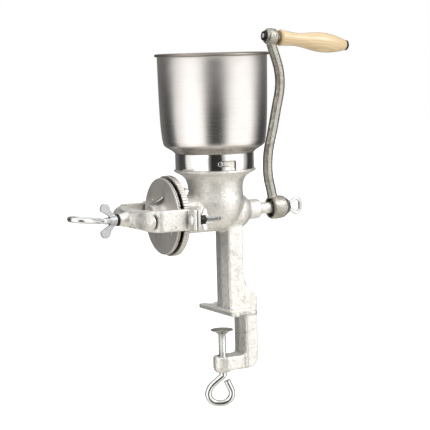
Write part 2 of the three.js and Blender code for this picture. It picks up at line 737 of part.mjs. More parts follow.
function adjustingScrew() {
  const tipX = hubFaceX + 1 - ballR * 1.35 - restGap;
  const made = eyeScrew({
    shankR: adjustR, wireR: adjustWireR, from: -tipX, neckZ: -adjustLoopStartX, to: -adjustEndX,
    wide: adjustLoopWide, lean: 0, rise: adjustLoopRise,
  });
  return turn(turn(made, 0, 0, -90), 0, -90, 0);
}

function thrustBall() {
  return moved(solid(new THREE.SphereGeometry(ballR, 14, 8)), hubFaceX + 1 - ballR * 0.35, 0, 0);
}

const lockWasherX = yokeHubX - restGap - lockWasherThick;

function lockWasher() {
  return ringX(adjustR + turnGap, yokeHubTipR - 0.2, lockWasherX, lockWasherX + lockWasherThick);
}

function lockNut() {
  const nut = wingNut({
    boreR: adjustR + turnGap, hubR: lockNutHubR, long: lockNutLong, tip: lockNutTip, wingThick: 3,
  });
  return moved(turn(nut, 0, 0, 180), lockWasherX - restGap, 0, 0);
}

// ---- crank ----

function crankArm() {
  const up = crankRadius;
  const line = [
    [crankHubX + 5, 0, 5], [crankHubX + 3, 0, 0.091 * up], [crankBossX - 8, 0, 0.19 * up],
    [crankBossX - 7.3, 0, 0.319 * up], [crankBossX - 0.9, 0, 0.447 * up], [crankBossX + 5.3, 0, 0.577 * up],
    [crankBossX + 11.1, 0, 0.707 * up], [crankBossX + 10.3, 0, 0.803 * up], [crankBossX + 4.4, 0, 0.9 * up],
    [crankBossX + 0.9, 0, 0.95 * up], [crankBossX, 0, 0.99 * up],
  ];
  const arm = swept(line, crankArmWide / 2, crankArmDeep / 2, 8, 28);
  const farX = crankHubX + crankHubLong;
  const hub = turnedX([
    [0, crankHubX], [crankHubR - 1.4, crankHubX], [crankHubR - 0.3, crankHubX + 2.2],
    [crankHubR, crankHubX + 9], [crankHubR - 1, farX - 6], [crankHubR - 5, farX], [0, farX],
  ], 24);
  const halfBoss = gripBossWide / 2;
  const boss = moved(turn(turnedX([
    [0, -halfBoss], [gripBossR - 3, -halfBoss], [gripBossR - 0.6, -halfBoss + 3], [gripBossR, 0],
    [gripBossR - 0.6, halfBoss - 3], [gripBossR - 3, halfBoss], [0, halfBoss],
  ], 24), 0, gripTilt, 0), crankBossX, 0, up);
  const side = crankSquare + 2 * turnGap;
  const pinBore = moved(turn(rodX(gripPinR + turnGap, -20, 20, 20), 0, gripTilt, 0), crankBossX, 0, up);
  return cut(
    joined(arm, hub, boss),
    rodX(crankHubRecessR, crankHubX - 12, crankHubX + crankHubRecess, 24),
    box(crankHubX, farX - 3.5, side, -side / 2, side / 2),
    rodX(crankScrewR + turnGap, farX - 6, farX + 2, 16),
    pinBore,
  );
}

const crankWasherX = crankHubX + crankHubLong + restGap;
const crankLoopX = crankWasherX + crankWasherThick + restGap;

function crankWasher() {
  return ringX(crankScrewR + turnGap, crankWasherR, crankWasherX, crankWasherX + crankWasherThick);
}

// a triangular wire eye on a short round foot
function crankEyeScrew() {
  const foot = turnedX([
    [0, crankWasherX - 10], [crankScrewR, crankWasherX - 10], [crankScrewR, crankLoopX], [5.6, crankLoopX], [5.6, crankLoopX + 1.6], [0, crankLoopX + 1.6],
  ], 20);
  const r = crankScrewR * 0.92;
  const reach = crankLoopX + crankLoopLong - r;
  const high = crankLoopWide / 2 - r;
  const eye = swept([
    [crankLoopX + 0.9, 0, 2.6], [crankLoopX + 4, 0, 4.6],
    [reach - 6.5, 0, high - 0.6], [reach - 2.6, 0, high - 1],
    [reach - 0.6, 0, high - 5], [reach, 0, 0], [reach - 0.6, 0, -high + 5], [reach - 2.6, 0, -high + 1],
    [reach - 6.5, 0, -high + 0.6], [crankLoopX + 4, 0, -4.6], [crankLoopX + 0.9, 0, -2.6],
  ], r, r, 8, 26);
  return joined(foot, eye);
}

const gripStart = gripBossWide / 2 + gripGap;

// the wooden grip, turned about its own pin, which lies along X here
function handleGrip() {
  const at = (share) => gripStart + gripLong * share;
  return turnedX([
    [gripPinR + turnGap, at(0)], [gripR * 0.8, at(0)], [gripR * 0.86, at(0.02)], [gripR * 0.8, at(0.045)],
    [gripR * 0.78, at(0.08)], [gripR * 0.68, at(0.2)], [gripR * 0.69, at(0.28)], [gripR * 0.82, at(0.42)],
    [gripR * 0.96, at(0.55)], [gripR, at(0.65)], [gripR * 0.95, at(0.76)], [gripR * 0.8, at(0.87)],
    [gripR * 0.58, at(0.97)], [gripR * 0.5, at(1)], [gripPinR + turnGap, at(1)],
    [gripPinR + turnGap, at(0)],
  ], 22);
}

function handlePin() {
  const headX = -gripBossWide / 2 - 4.4;
  const endX = gripStart + gripLong + restGap + gripWasherThick + restGap;
  return turnedX([
    [0, headX], [gripPinR - 0.7, headX], [gripPinR, headX + 0.7],
    [gripPinR, endX], [gripPinR + 1.2, endX], [gripPinR + 0.6, endX + 1.2], [0, endX + 1.5],
  ], 20);
}

function handleCap() {
  const startX = gripStart + gripLong + restGap;
  return ringX(gripPinR + turnGap, gripR * 0.52, startX, startX + gripWasherThick);
}

function handlePinNut() {
  const endX = -gripBossWide / 2 - restGap;
  return ringX(gripPinR + turnGap, 5.6, endX - 2.6, endX);
}

// ---- clamp ----

function clampPad() {
  const rimZ = padTopZ;
  return moved(turnedZ([
    [padNeckR + turnGap, rimZ - padDeep], [clampR + 1.4, rimZ - padDeep], [padR - 0.8, rimZ - 1.2],
    [padR, rimZ - 0.5], [padR - 0.3, rimZ], [padR - 1.6, rimZ], [clampR + 1.6, rimZ - 3.2], [padNeckR + turnGap, rimZ - 3.2],
    [padNeckR + turnGap, rimZ - padDeep],
  ], 24), clampX, 0, 0);
}

function clampScrew() {
  const shoulderZ = padTopZ - padDeep - restGap;
  const seatZ = padTopZ - 3.2 + restGap;
  const made = eyeScrew({
    shankR: clampR, wireR: clampWireR, from: shoulderZ, neckZ: clampLoopZ, to: clampEndZ,
    wide: clampLoopWide, lean: clampLoopLean, rise: 0,
  });
  const tip = turnedZ([
    [0, shoulderZ - 1], [padNeckR, shoulderZ - 1], [padNeckR, seatZ], [clampR, seatZ],
    [clampR - 0.6, seatZ + 1.2], [0, seatZ + 1.6],
  ], 20);
  return moved(turn(joined(made, tip), 0, 0, clampTurn), clampX, 0, 0);
}

// ---- assembly ----

const mill = new THREE.Group();
mill.add(
  piece('body_casting', bodyCasting(), castIron),
  piece('bayonet_pin_near', bayonetPin(0), zincSteel),
  piece('bayonet_pin_far', turn(bayonetPin(0), 0, 0, 180), zincSteel),
  piece('hopper_bowl', hopperBowl(), satinSteel),
  piece('hopper_neck', hopperNeck(), mirrorSteel),
  piece('stationary_burr', stationaryBurr(), discIron),
  piece('rotating_burr', rotatingBurr(), discIron),
  piece('burr_carrier', burrCarrier(), discIron),
  piece('lock_pin', lockPin(0), zincSteel),
  piece('auger_shaft', augerShaft(), castIron),
  piece('thrust_ball', thrustBall(), zincSteel),
  piece('yoke', yoke(), castIron),
  piece('adjusting_screw', adjustingScrew(), zincSteel),
  piece('lock_washer', lockWasher(), blackSteel),
  piece('lock_wing_nut', lockNut(), zincSteel),
  piece('crank_arm', crankArm(), darkIron),
  piece('crank_washer', crankWasher(), blackSteel),
  piece('crank_eye_screw', crankEyeScrew(), zincSteel),
  piece('clamp_pad', clampPad(), darkIron),
  piece('clamp_screw', clampScrew(), zincSteel),
);
['near', 'far'].forEach((side, i) => {
  const y = [-yokeBoltY, yokeBoltY][i];
  mill.add(
    piece(`yoke_bolt_${side}`, yokeBolt(y), zincSteel),
    piece(`yoke_washer_${side}`, yokeWasher(y), blackSteel),
    piece(`yoke_wing_nut_${side}`, yokeNut(y), zincSteel),
    piece(`stationary_burr_screw_${side}`, stationaryScrew(burrScrewPlaces[i]), zincSteel),
    piece(`stationary_burr_nut_${side}`, burrNut(burrScrewPlaces[i]), zincSteel),
    piece(`rotating_burr_screw_${side}`, rotatingScrew(rotatingScrewPlaces[i]), zincSteel),
  );
});

const handle = new THREE.Group();
handle.add(
  piece('handle_grip', handleGrip(), paleWood),
  piece('handle_pin', handlePin(), zincSteel),
  piece('handle_cap', handleCap(), blackSteel),
  piece('handle_pin_nut', handlePinNut(), blackSteel),
);
handle.position.set(crankBossX, 0, crankRadius);
handle.rotation.y = radians(gripTilt);
mill.add(handle);
mill.position.set(-clampX, 0, -plateZ);

const grinder = new THREE.Group();
grinder.add(mill);
export default grinder;
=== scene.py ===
# Hand crank coffee grinder: finer pieces and finishes over its CAD frame.
# Shapes are worked in millimetres from the mill's own lines, which are the shaft along X and the
# hopper's axis along Z, and become metres in the row's frame when a piece is finished.
import math

import bmesh
import bpy
from mathutils import Matrix, Vector


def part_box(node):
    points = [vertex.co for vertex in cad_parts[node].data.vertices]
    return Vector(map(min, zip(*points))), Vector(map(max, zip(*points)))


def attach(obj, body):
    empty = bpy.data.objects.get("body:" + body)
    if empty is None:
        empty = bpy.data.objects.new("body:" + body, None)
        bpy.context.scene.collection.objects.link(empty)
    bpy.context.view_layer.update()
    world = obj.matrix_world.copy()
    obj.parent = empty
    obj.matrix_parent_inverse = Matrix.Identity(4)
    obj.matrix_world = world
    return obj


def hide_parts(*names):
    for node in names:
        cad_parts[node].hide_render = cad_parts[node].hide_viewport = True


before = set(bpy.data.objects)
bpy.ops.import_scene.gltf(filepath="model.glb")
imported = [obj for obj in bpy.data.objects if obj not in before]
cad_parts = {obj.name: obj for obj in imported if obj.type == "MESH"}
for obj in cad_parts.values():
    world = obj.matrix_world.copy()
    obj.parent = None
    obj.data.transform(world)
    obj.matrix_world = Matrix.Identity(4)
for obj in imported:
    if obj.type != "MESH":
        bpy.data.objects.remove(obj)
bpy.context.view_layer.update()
print("frame loaded:", len(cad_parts), "nodes")

mm = 0.001
xAxis, yAxis, zAxis = Vector((1, 0, 0)), Vector((0, 1, 0)), Vector((0, 0, 1))


def boxOf(node):
    low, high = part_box(node)
    return Vector(low), Vector(high)


burrLow, burrHigh = boxOf("stationary_burr")
neckLow, neckHigh = boxOf("hopper_neck")
mill = Vector(((neckLow.x + neckHigh.x) / 2, 0, (burrLow.z + burrHigh.z) / 2))  # where the lines cross


def millBox(node):
    low, high = boxOf(node)
    return (low - mill) / mm, (high - mill) / mm


# camera, light and floor

cameraSet = {
    "azimuth": -28, "elevation": 6.3, "roll": 1.5,  # degrees
    "aim": (-5.2, 0.2, 118.4), "distance": 1930,  # mm
    "lens": 135.88,
}


def makeCamera():
    a, e, roll = (math.radians(cameraSet[name]) for name in ("azimuth", "elevation", "roll"))
    back = Vector((math.sin(a) * math.cos(e), -math.cos(a) * math.cos(e), math.sin(e)))
    level = Vector((math.cos(a), math.sin(a), 0))
    upright = back.cross(level)
    right = level * math.cos(roll) - upright * math.sin(roll)
    up = level * math.sin(roll) + upright * math.cos(roll)
    camera = bpy.data.objects.new("camera", bpy.data.cameras.new("camera"))
    bpy.context.collection.objects.link(camera)
    camera.data.lens = cameraSet["lens"]
    camera.data.clip_start, camera.data.clip_end = 0.1, 20
    turn = Matrix((right, up, back)).transposed().to_4x4()
    place = (Vector(cameraSet["aim"]) + back * cameraSet["distance"]) * mm
    camera.matrix_world = Matrix.Translation(place) @ turn
    bpy.context.scene.camera = camera
    return level, back


class Shade:
    # wraps one output socket, and arithmetic on it adds the Math nodes
    def __init__(self, tree, socket=None):
        self.tree = tree
        self.socket = socket

    def node(self, kind, settings=None, inputs=None, out=0):
        made = self.tree.nodes.new(kind)
        for name, value in (settings or {}).items():
            if name == "stops":
                ramp = made.color_ramp
                while len(ramp.elements) > 1:
                    ramp.elements.remove(ramp.elements[-1])
                ramp.elements[0].position, ramp.elements[0].color = value[0][0], value[0][1]
                for place, color in value[1:]:
                    ramp.elements.new(place).color = color
            elif name == "ease":
                made.color_ramp.interpolation = value
            else:
                setattr(made, name, value)
        for name, value in (inputs or {}).items():
            if isinstance(value, Shade):
                self.tree.links.new(value.socket, made.inputs[name])
            else:
                made.inputs[name].default_value = value
        return Shade(self.tree, made.outputs[out])

    def math(self, operation, first, second=0.0):
        return self.node("ShaderNodeMath", {"operation": operation}, {0: first, 1: second})

    def __add__(self, other):
        return self.math("ADD", self, other)

    __radd__ = __add__

    def __sub__(self, other):
        return self.math("SUBTRACT", self, other)

    def __rsub__(self, other):
        return self.math("SUBTRACT", other, self)

    def __mul__(self, other):
        return self.math("MULTIPLY", self, other)

    def __truediv__(self, other):
        return self.math("DIVIDE", self, other)

    def __pow__(self, other):
        return self.math("POWER", self, other)

    # rises smoothly from 0 at low to 1 at high
    def rise(self, low, high):
        inputs = {"Value": self, "From Min": low, "From Max": high}
        return self.node("ShaderNodeMapRange", {"interpolation_type": "SMOOTHSTEP"}, inputs)

    def noise(self, scale, detail, roughness):
        inputs = {"Vector": self, "Scale": scale, "Detail": detail, "Roughness": roughness}
        return self.node("ShaderNodeTexNoise", None, inputs)

    def cells(self, scale):
        return self.node("ShaderNodeTexVoronoi", None, {"Vector": self, "Scale": scale}, "Distance")

    def mapped(self, place=(0, 0, 0), turn=(0, 0, 0), scale=(1, 1, 1)):
        inputs = {"Vector": self, "Location": place, "Rotation": turn, "Scale": scale}
        return self.node("ShaderNodeMapping", None, inputs)

    def part(self, name):
        return self.node("ShaderNodeSeparateXYZ", None, {"Vector": self}, name)

    # 0 in the open, 1 deep in a corner, from ambient occlusion: the mask for painted shade in corners
    def shadeInCorners(self, reach):
        shelter = self.node("ShaderNodeAmbientOcclusion", {"samples": 8}, {"Distance": reach}, "AO")
        return 1 - shelter.rise(0.35, 0.98)

    # this value mixes two colours
    def blend(self, first, second):
        inputs = {0: self, 6: first, 7: second}
        return self.node("ShaderNodeMix", {"data_type": "RGBA"}, inputs, 2)

    def bump(self, distance):
        inputs = {"Height": self, "Distance": distance, "Strength": 1.0}
        return self.node("ShaderNodeBump", None, inputs)


lightSet = {
    # round the object from behind it, left to right as the camera sees it: share of a turn, and brightness
    "bands": [
        (0.0, 0.3), (0.12, 0.15), (0.17, 0.06), (0.225, 0.07), (0.26, 1.0), (0.36, 1.5), (0.435, 1.4),
        (0.462, 0.16), (0.48, 0.03), (0.55, 0.04), (0.575, 0.6), (0.6, 1.3), (0.74, 1.35), (0.785, 0.5),
        (0.82, 0.05), (0.88, 0.06), (0.93, 0.18), (1.0, 0.3),
    ],
    "above": 1.1, "below": (0.8, 0.77, 0.71), "strength": 1.0,
    # each softbox's place and size in metres, and its power
    "softboxes": {
        "keyLight": ((1.3, -1.6, 1.7), (1.2, 1.2), 22),
        "fillLight": ((-1.9, -1.2, 1.2), (1.0, 1.4), 2),
    },
}


def makeWorld(level, back):
    world = bpy.data.worlds.new("studio")
    world.use_nodes = True
    bpy.context.scene.world = world
    tree = world.node_tree
    tree.nodes.clear()
    way = Shade(tree).node("ShaderNodeTexCoord", out="Generated")
    dot = {"operation": "DOT_PRODUCT"}
    front = Vector((back.x, back.y, 0)).normalized()
    toRight = way.node("ShaderNodeVectorMath", dot, {0: way, 1: level}, "Value")
    toFront = way.node("ShaderNodeVectorMath", dot, {0: way, 1: front}, "Value")
    share = way.math("ARCTAN2", toRight, toFront) / math.tau + 0.5
    stops = [(place, (grey, grey * 0.99, grey * 0.965, 1)) for place, grey in lightSet["bands"]]
    bands = share.node("ShaderNodeValToRGB", {"stops": stops, "ease": "EASE"}, {"Fac": share})
    height = way.part("Z")
    above = lightSet["above"]
    lit = height.rise(0.5, 0.85).blend(bands, (above, above, above, 1))
    lit = height.rise(-0.42, -0.72).blend(lit, (*lightSet["below"], 1))
    studio = way.node("ShaderNodeBackground", None, {"Color": lit, "Strength": lightSet["strength"]})
    white = way.node("ShaderNodeBackground", None, {"Color": (1, 1, 1, 1), "Strength": 1.0})
    seen = way.node("ShaderNodeLightPath", out="Is Camera Ray")
    mixed = way.node("ShaderNodeMixShader", None, {0: seen, 1: studio, 2: white})
    output = tree.nodes.new("ShaderNodeOutputWorld")
    tree.links.new(mixed.socket, output.inputs["Surface"])


def addSoftbox(name, place, size, power):
    light = bpy.data.lights.new(name, "AREA")
    light.shape, light.size, light.size_y = "RECTANGLE", size[0], size[1]
    light.energy = power
    lamp = bpy.data.objects.new(name, light)
    bpy.context.collection.objects.link(lamp)
    lamp.location = place
    lamp.rotation_mode = "QUATERNION"
    lamp.rotation_quaternion = (Vector(place) - Vector((0, 0, 0.1))).to_track_quat("Z", "Y")


floorSet = {"half": 9, "z": -0.42, "grey": 0.8, "glow": 0.6}  # metres


def makeFloor():
    bm = bmesh.new()
    bmesh.ops.create_grid(bm, x_segments=4, y_segments=4, size=floorSet["half"])
    bmesh.ops.translate(bm, verts=bm.verts, vec=(0, 0, floorSet["z"]))
    mesh = bpy.data.meshes.new("floor")
    bm.to_mesh(mesh)
    bm.free()
    floor = bpy.data.objects.new("floor", mesh)
    bpy.context.collection.objects.link(floor)
    paint = bpy.data.materials.new("paleFloor")
    paint.use_nodes = True
    shader = paint.node_tree.nodes["Principled BSDF"]
    shader.inputs["Base Color"].default_value = (floorSet["grey"],) * 3 + (1,)
    shader.inputs["Roughness"].default_value = 0.9
    shader.inputs["Emission Color"].default_value = (1, 1, 1, 1)
    shader.inputs["Emission Strength"].default_value = floorSet["glow"]
    mesh.materials.append(paint)
    floor.visible_glossy = False
    floor.visible_diffuse = False


levelWay, backWay = makeCamera()
makeWorld(levelWay, backWay)
for lightName, (lightPlace, lightSize, power) in lightSet["softboxes"].items():
    addSoftbox(lightName, lightPlace, lightSize, power)
makeFloor()
bpy.context.scene.view_settings.view_transform = "Standard"
print("camera, light and floor made")


# finishes

def newFinish(name, constants):
    made = bpy.data.materials.new(name)
    made.use_nodes = True
    shader = made.node_tree.nodes["Principled BSDF"]
    for socket, value in constants.items():
        shader.inputs[socket].default_value = value
    coords = Shade(made.node_tree).node("ShaderNodeTexCoord", out="Object")
    return made, shader, coords


def feed(shader, links):
    for name, value in links.items():
        value.tree.links.new(value.socket, shader.inputs[name])


def makeCastTin(name, light, dull, rough, peelDeep):
    made, shader, coords = newFinish(name, {"Metallic": 1.0})
    patches = coords.noise(46, 4, 0.6)
    cloudy = coords.noise(150, 3, 0.6)
    peel = coords.noise(430, 3, 0.55)
    sand = coords.noise(1500, 2, 0.6)
    pits = 1 - coords.cells(260).rise(0.06, 0.2)
    speckle = (peel * 0.6 + sand * 0.4).rise(0.5, 0.66)
    stain = patches.rise(0.45, 0.75) * 0.25 + cloudy.rise(0.5, 0.72) * 0.3 + speckle * 0.4 + pits * 0.3
    # corners and joins are darkened toward dark brown: painted shade
    paintedCornerShade = coords.shadeInCorners(0.005) * 0.85
    relief = peel * 0.9 + cloudy * 0.8 + sand * 0.18 - pits * 0.35
    feed(shader, {
        "Base Color": paintedCornerShade.blend(stain.blend(light, dull), (0.13, 0.11, 0.085, 1)),
        "Roughness": rough + patches * 0.12 + sand * 0.1 + pits * 0.2,
        "Normal": relief.bump(peelDeep),
    })
    return made


# fine lines left by spinning a bowl, which run round it
def makeSpunSteel(name, color, rough, lineDeep, lineShare, duller=0.0, edge=1.0, bellyShadeTop=-1.0):
    made, shader, coords = newFinish(name, {"Metallic": 1.0})
    lines = coords.mapped(scale=(5, 5, 1700)).noise(1.0, 3, 0.7)
    bands = coords.mapped(scale=(3, 3, 150)).noise(1.0, 2, 0.5)
    smudge = coords.noise(28, 3, 0.55)
    scuff = coords.mapped(turn=(0.3, 0.2, 0.5), scale=(40, 40, 900)).noise(1.0, 2, 0.6).rise(0.66, 0.74)
    upper = coords.part("Z").rise(mill.z + 0.09, mill.z + 0.19)
    tint = [value * 0.86 for value in color[:3]]
    high = coords.part("Z") - neckLow.z
    # painted shade, dark brown: a thin band at the height edge, where the rim is, and the lower bowl darker
    # towards the bottom
    paintedRimBellyShade = high.rise(edge - 0.0006, edge + 0.0006) * 0.8 + (1 - high.rise(bellyShadeTop - 0.006, bellyShadeTop)) * 0.6
    steel = (lines * 0.5 + smudge * 0.5).rise(0.3, 0.7).blend((*tint, 1), color)
    feed(shader, {
        "Base Color": paintedRimBellyShade.blend(steel, (0.21, 0.175, 0.145, 1)),
        "Roughness": rough + lines * lineShare + smudge * 0.06 + scuff * 0.05 + upper * duller,
        "Normal": (lines + bands * 0.5 + scuff * 0.3).bump(lineDeep),
    })
    return made


# bright plated steel; hub is the centre of a part whose middle is painted black as shade
# a thread is [axis, centre, pitch, low, high], in metres along that axis
def makePlated(name, color, rough, thread=None, hub=None):
    made, shader, coords = newFinish(name, {"Metallic": 1.0})
    grain = coords.noise(900, 3, 0.6)
    cloud = coords.noise(90, 3, 0.6)
    nicks = 1 - coords.cells(420).rise(0.04, 0.13)
    relief = grain * 0.25 + cloud * 0.5 - nicks * 0.4
    # a darker tone for random mottle and nicks, and for painted shade in thread grooves
    darkToneAndShade = [value * 0.7 for value in color[:3]]
    mottleAndGrooveShade = cloud.rise(0.5, 0.8) * 0.5 + nicks * 0.4
    deep = 0.00006
    if thread:
        axis, centre, pitch, low, high = thread
        local = coords.mapped(place=[-value for value in centre])
        along = coords.part("XYZ"[axis])
        across = [local.part(letter) for i, letter in enumerate("XYZ") if i != axis]
        turned = coords.math("ARCTAN2", across[0], across[1]) / math.tau
        wave = coords.math("PINGPONG", along / pitch + turned, 0.5) * 2
        reach = across[0] * across[0] + across[1] * across[1]
        inside = along.rise(low, low + 0.0004) * (1 - along.rise(high - 0.0004, high))
        shank = inside * (1 - reach.rise(0.0055 ** 2, 0.0058 ** 2))
        relief = relief * 0.2 + wave * shank
        # the thread's grooves are darkened: painted shade
        mottleAndGrooveShade = mottleAndGrooveShade * 0.6 + (1 - wave) * shank * 0.6
        deep = pitch * 0.3
    steel = mottleAndGrooveShade.blend(color, (*darkToneAndShade, 1))
    # the round middle about hub is painted near black: painted shade
    if hub:
        local = coords.mapped(place=[-value for value in hub])
        reach = local.part("Y") ** 2.0 + local.part("Z") ** 2.0
        steel = reach.rise(0.0051 ** 2, 0.0056 ** 2).blend((0.03, 0.03, 0.028, 1), steel)
    feed(shader, {
        "Base Color": steel,
        "Roughness": rough + cloud * 0.1 + nicks * 0.2,
        "Normal": relief.bump(deep),
    })
    return made


# ground iron of the discs, with turning marks about the shaft
def makeBurrIron():
    made, shader, coords = newFinish("burrIron", {"Metallic": 1.0})
    local = coords.mapped(place=[-value for value in mill])
    reach = (local.part("Y") ** 2.0 + local.part("Z") ** 2.0) ** 0.5
    wander = coords.noise(60, 2, 0.5)
    rings = coords.math("SINE", (reach + wander * 0.0012) * 5200)
    patches = coords.noise(40, 4, 0.6)
    grit = coords.noise(1300, 3, 0.65)
    pits = 1 - coords.cells(520).rise(0.07, 0.22)
    stain = patches.rise(0.35, 0.7) * 0.6 + pits * 0.4
    cast = stain.blend((0.8, 0.77, 0.74, 1), (0.56, 0.52, 0.48, 1))
    # corners and grooves are darkened almost to black: painted shade
    feed(shader, {
        "Base Color": (coords.shadeInCorners(0.006) * 0.95).blend(cast, (0.03, 0.027, 0.023, 1)),
        "Roughness": 0.42 + grit * 0.14 + patches * 0.08,
        "Normal": (rings * 0.07 + grit * 0.4 + patches * 0.6 - pits * 0.4).bump(0.00022),
    })
    return made


def makeBlackSteel():
    made, shader, coords = newFinish("blackSteel", {"Metallic": 0.6})
    grain = coords.noise(700, 3, 0.6)
    worn = coords.noise(160, 3, 0.6).rise(0.56, 0.72)
    feed(shader, {
        "Base Color": worn.blend((0.018, 0.017, 0.016, 1), (0.09, 0.085, 0.08, 1)),
        "Roughness": 0.36 + grain * 0.2,
        "Normal": grain.bump(0.00008),
    })
    return made


gripTilt = math.radians(7)
gripLine = Vector((math.cos(gripTilt), 0, -math.sin(gripTilt)))


# pale varnished wood, its grain along the grip
def makeGripWood():
    made, shader, coords = newFinish("gripWood", {"Coat Roughness": 0.12, "Specular IOR Level": 0.4})
    along = coords.mapped(turn=(0, -gripTilt, 0))
    wander = along.mapped(scale=(14, 60, 60)).noise(1.0, 2, 0.5)
    spread = along.mapped(scale=(16, 420, 420)).noise(1.0, 4, 0.65)
    broad = along.mapped(scale=(7, 95, 95)).noise(1.0, 3, 0.6)
    pores = along.mapped(scale=(130, 1700, 1700)).noise(1.0, 2, 0.5).rise(0.66, 0.78)
    rings = coords.math("SINE", (along.part("Z") + along.part("Y") * 0.6 + wander * 0.006) * 1900) * 0.5 + 0.5
    grain = rings * 0.2 + spread * 0.4 + broad * 0.5
    base = grain.rise(0.3, 0.9).blend((0.88, 0.71, 0.45, 1), (0.67, 0.46, 0.23, 1))
    flecked = (pores * 0.3).blend(base, (0.32, 0.18, 0.07, 1))
    feed(shader, {
        "Base Color": flecked,
        "Roughness": 0.34 + spread * 0.12,
        "Coat Weight": 0.75 - pores * 0.3,
        "Normal": (spread * 0.3 - pores * 0.5).bump(0.00012),
    })
    return made


zincGrey = (0.84, 0.85, 0.86, 1)
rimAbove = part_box("hopper_bowl")[1][2] - neckLow.z - 0.0033
castTin = makeCastTin("castTin", (0.96, 0.945, 0.915, 1), (0.52, 0.49, 0.42, 1), 0.38, 0.0008)
castCrank = makeCastTin("castCrank", (0.52, 0.5, 0.45, 1), (0.17, 0.15, 0.115, 1), 0.24, 0.0007)
castZinc = makeCastTin("castZinc", (0.6, 0.61, 0.62, 1), (0.4, 0.41, 0.42, 1), 0.34, 0.0002)
# the bowl's rim and its lower belly get painted shade
satinSteel = makeSpunSteel("satinSteel", (0.85, 0.82, 0.8, 1), 0.2, 0.00002, 0.05, 0.15, rimAbove,
                           rimAbove - 0.101)
polishedSteel = makeSpunSteel("polishedSteel", (0.9, 0.89, 0.87, 1), 0.035, 0.000004, 0.03)
zincSteel = makePlated("zincSteel", zincGrey, 0.2)
padSteel = makePlated("padSteel", (0.42, 0.43, 0.4, 1), 0.16)
burrIron = makeBurrIron()
blackSteel = makeBlackSteel()
gripWood = makeGripWood()
print("finishes made")


# ways of making shapes

# [radius, along] pairs spun about a line
def spun(profile, centre, axis, steps=72, loop=False):
    bm = bmesh.new()
    axis = axis.normalized()
    verts = [bm.verts.new(centre + axis * along + yAxis * r) for r, along in profile]
    edges = [bm.edges.new(pair) for pair in zip(verts, verts[1:])]
    if loop:
        edges.append(bm.edges.new((verts[-1], verts[0])))
    bmesh.ops.spin(
        bm, geom=verts + edges, cent=centre, axis=axis, angle=math.tau, steps=steps, use_merge=True,
    )
    bmesh.ops.remove_doubles(bm, verts=bm.verts, dist=0.0001)
    bmesh.ops.recalc_face_normals(bm, faces=bm.faces)
    return bm


def ring(inner, outer, low, high):
    return [(inner, low), (outer, low), (outer, high), (inner, high)]


cornerAngle = 28  # degrees: a sharper edge than this is rounded


def softened(bm, width):
    corners = [e for e in bm.edges
               if len(e.link_faces) == 2 and math.degrees(e.calc_face_angle()) > cornerAngle]
    bmesh.ops.bevel(
        bm, geom=corners, offset=width, offset_type="OFFSET", affect="EDGES", segments=2,
        profile=0.5, material=-1, clamp_overlap=True,
    )
    return bm


def arc(x, y, r, start, end, count):
    turns = [math.radians(start + (end - start) * i / count) for i in range(count + 1)]
    return [(x + r * math.cos(t), y + r * math.sin(t)) for t in turns]


# more points along a smooth line through the ones given
def smoothed(points, count):
    places = [Vector(p) for p in points]
    places = [places[0] * 2 - places[1], *places, places[-1] * 2 - places[-2]]
    line = []
    for a, b, c, d in zip(places, places[1:], places[2:], places[3:]):
        for i in range(count):
            t = i / count
            line.append((b * 2 + (c - a) * t + (a * 2 - b * 5 + c * 4 - d) * t ** 2
                         + (b * 3 - a - c * 3 + d) * t ** 3) / 2)
    return [*line, places[-2]]


def newObject(name, bm):
    mesh = bpy.data.meshes.new(name)
    bm.to_mesh(mesh)
    bm.free()
    made = bpy.data.objects.new(name, mesh)
    bpy.context.collection.objects.link(made)
    return made


# the object's mesh with its modifiers worked in
def settled(made):
    depsgraph = bpy.context.evaluated_depsgraph_get()
    mesh = bpy.data.meshes.new_from_object(made.evaluated_get(depsgraph))
    made.modifiers.clear()
    made.data = mesh
    return made


def toBmesh(made):
    bm = bmesh.new()
    bm.from_mesh(made.data)
    bpy.data.objects.remove(made)
    return bm


def wire(points, radius, sides=6):
    curve = bpy.data.curves.new("wire", "CURVE")
    curve.dimensions = "3D"
    curve.bevel_depth, curve.bevel_resolution, curve.use_fill_caps = radius, sides, True
    line = smoothed(points, 6)
    spline = curve.splines.new("POLY")
    spline.points.add(len(line) - 1)
    for point, place in zip(spline.points, line):
        point.co = (*place, 1)
    made = bpy.data.objects.new("wire", curve)
    bpy.context.collection.objects.link(made)
    mesh = bpy.data.meshes.new_from_object(made.evaluated_get(bpy.context.evaluated_depsgraph_get()))
    bm = bmesh.new()
    bm.from_mesh(mesh)
    bpy.data.objects.remove(made)
    bmesh.ops.remove_doubles(bm, verts=bm.verts, dist=0.0001)
    bmesh.ops.recalc_face_normals(bm, faces=bm.faces)
    return bm


def added(bm, *others):
    for other in others:
        mesh = bpy.data.meshes.new("part")
        other.to_mesh(mesh)
        other.free()
        bm.from_mesh(mesh)
        bpy.data.meshes.remove(mesh)
    return bm


def cutBy(bm, *cutters):
    made = newObject("whole", bm)
    for cutter in cutters:
        tool = newObject("cutter", cutter)
        modifier = made.modifiers.new("cut", "BOOLEAN")
        modifier.operation, modifier.solver, modifier.object = "DIFFERENCE", "EXACT", tool
        settled(made)
        bpy.data.objects.remove(tool)
    return toBmesh(made)


# a merged copy of a CAD node's mesh, in the mill's millimetres
def copied(node):
    bm = bmesh.new()
    bm.from_mesh(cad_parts[node].data)
    bmesh.ops.remove_doubles(bm, verts=bm.verts, dist=0.000002)
    bmesh.ops.translate(bm, verts=bm.verts, vec=-mill)
    bmesh.ops.scale(bm, verts=bm.verts, vec=(1 / mm,) * 3)
    return bm


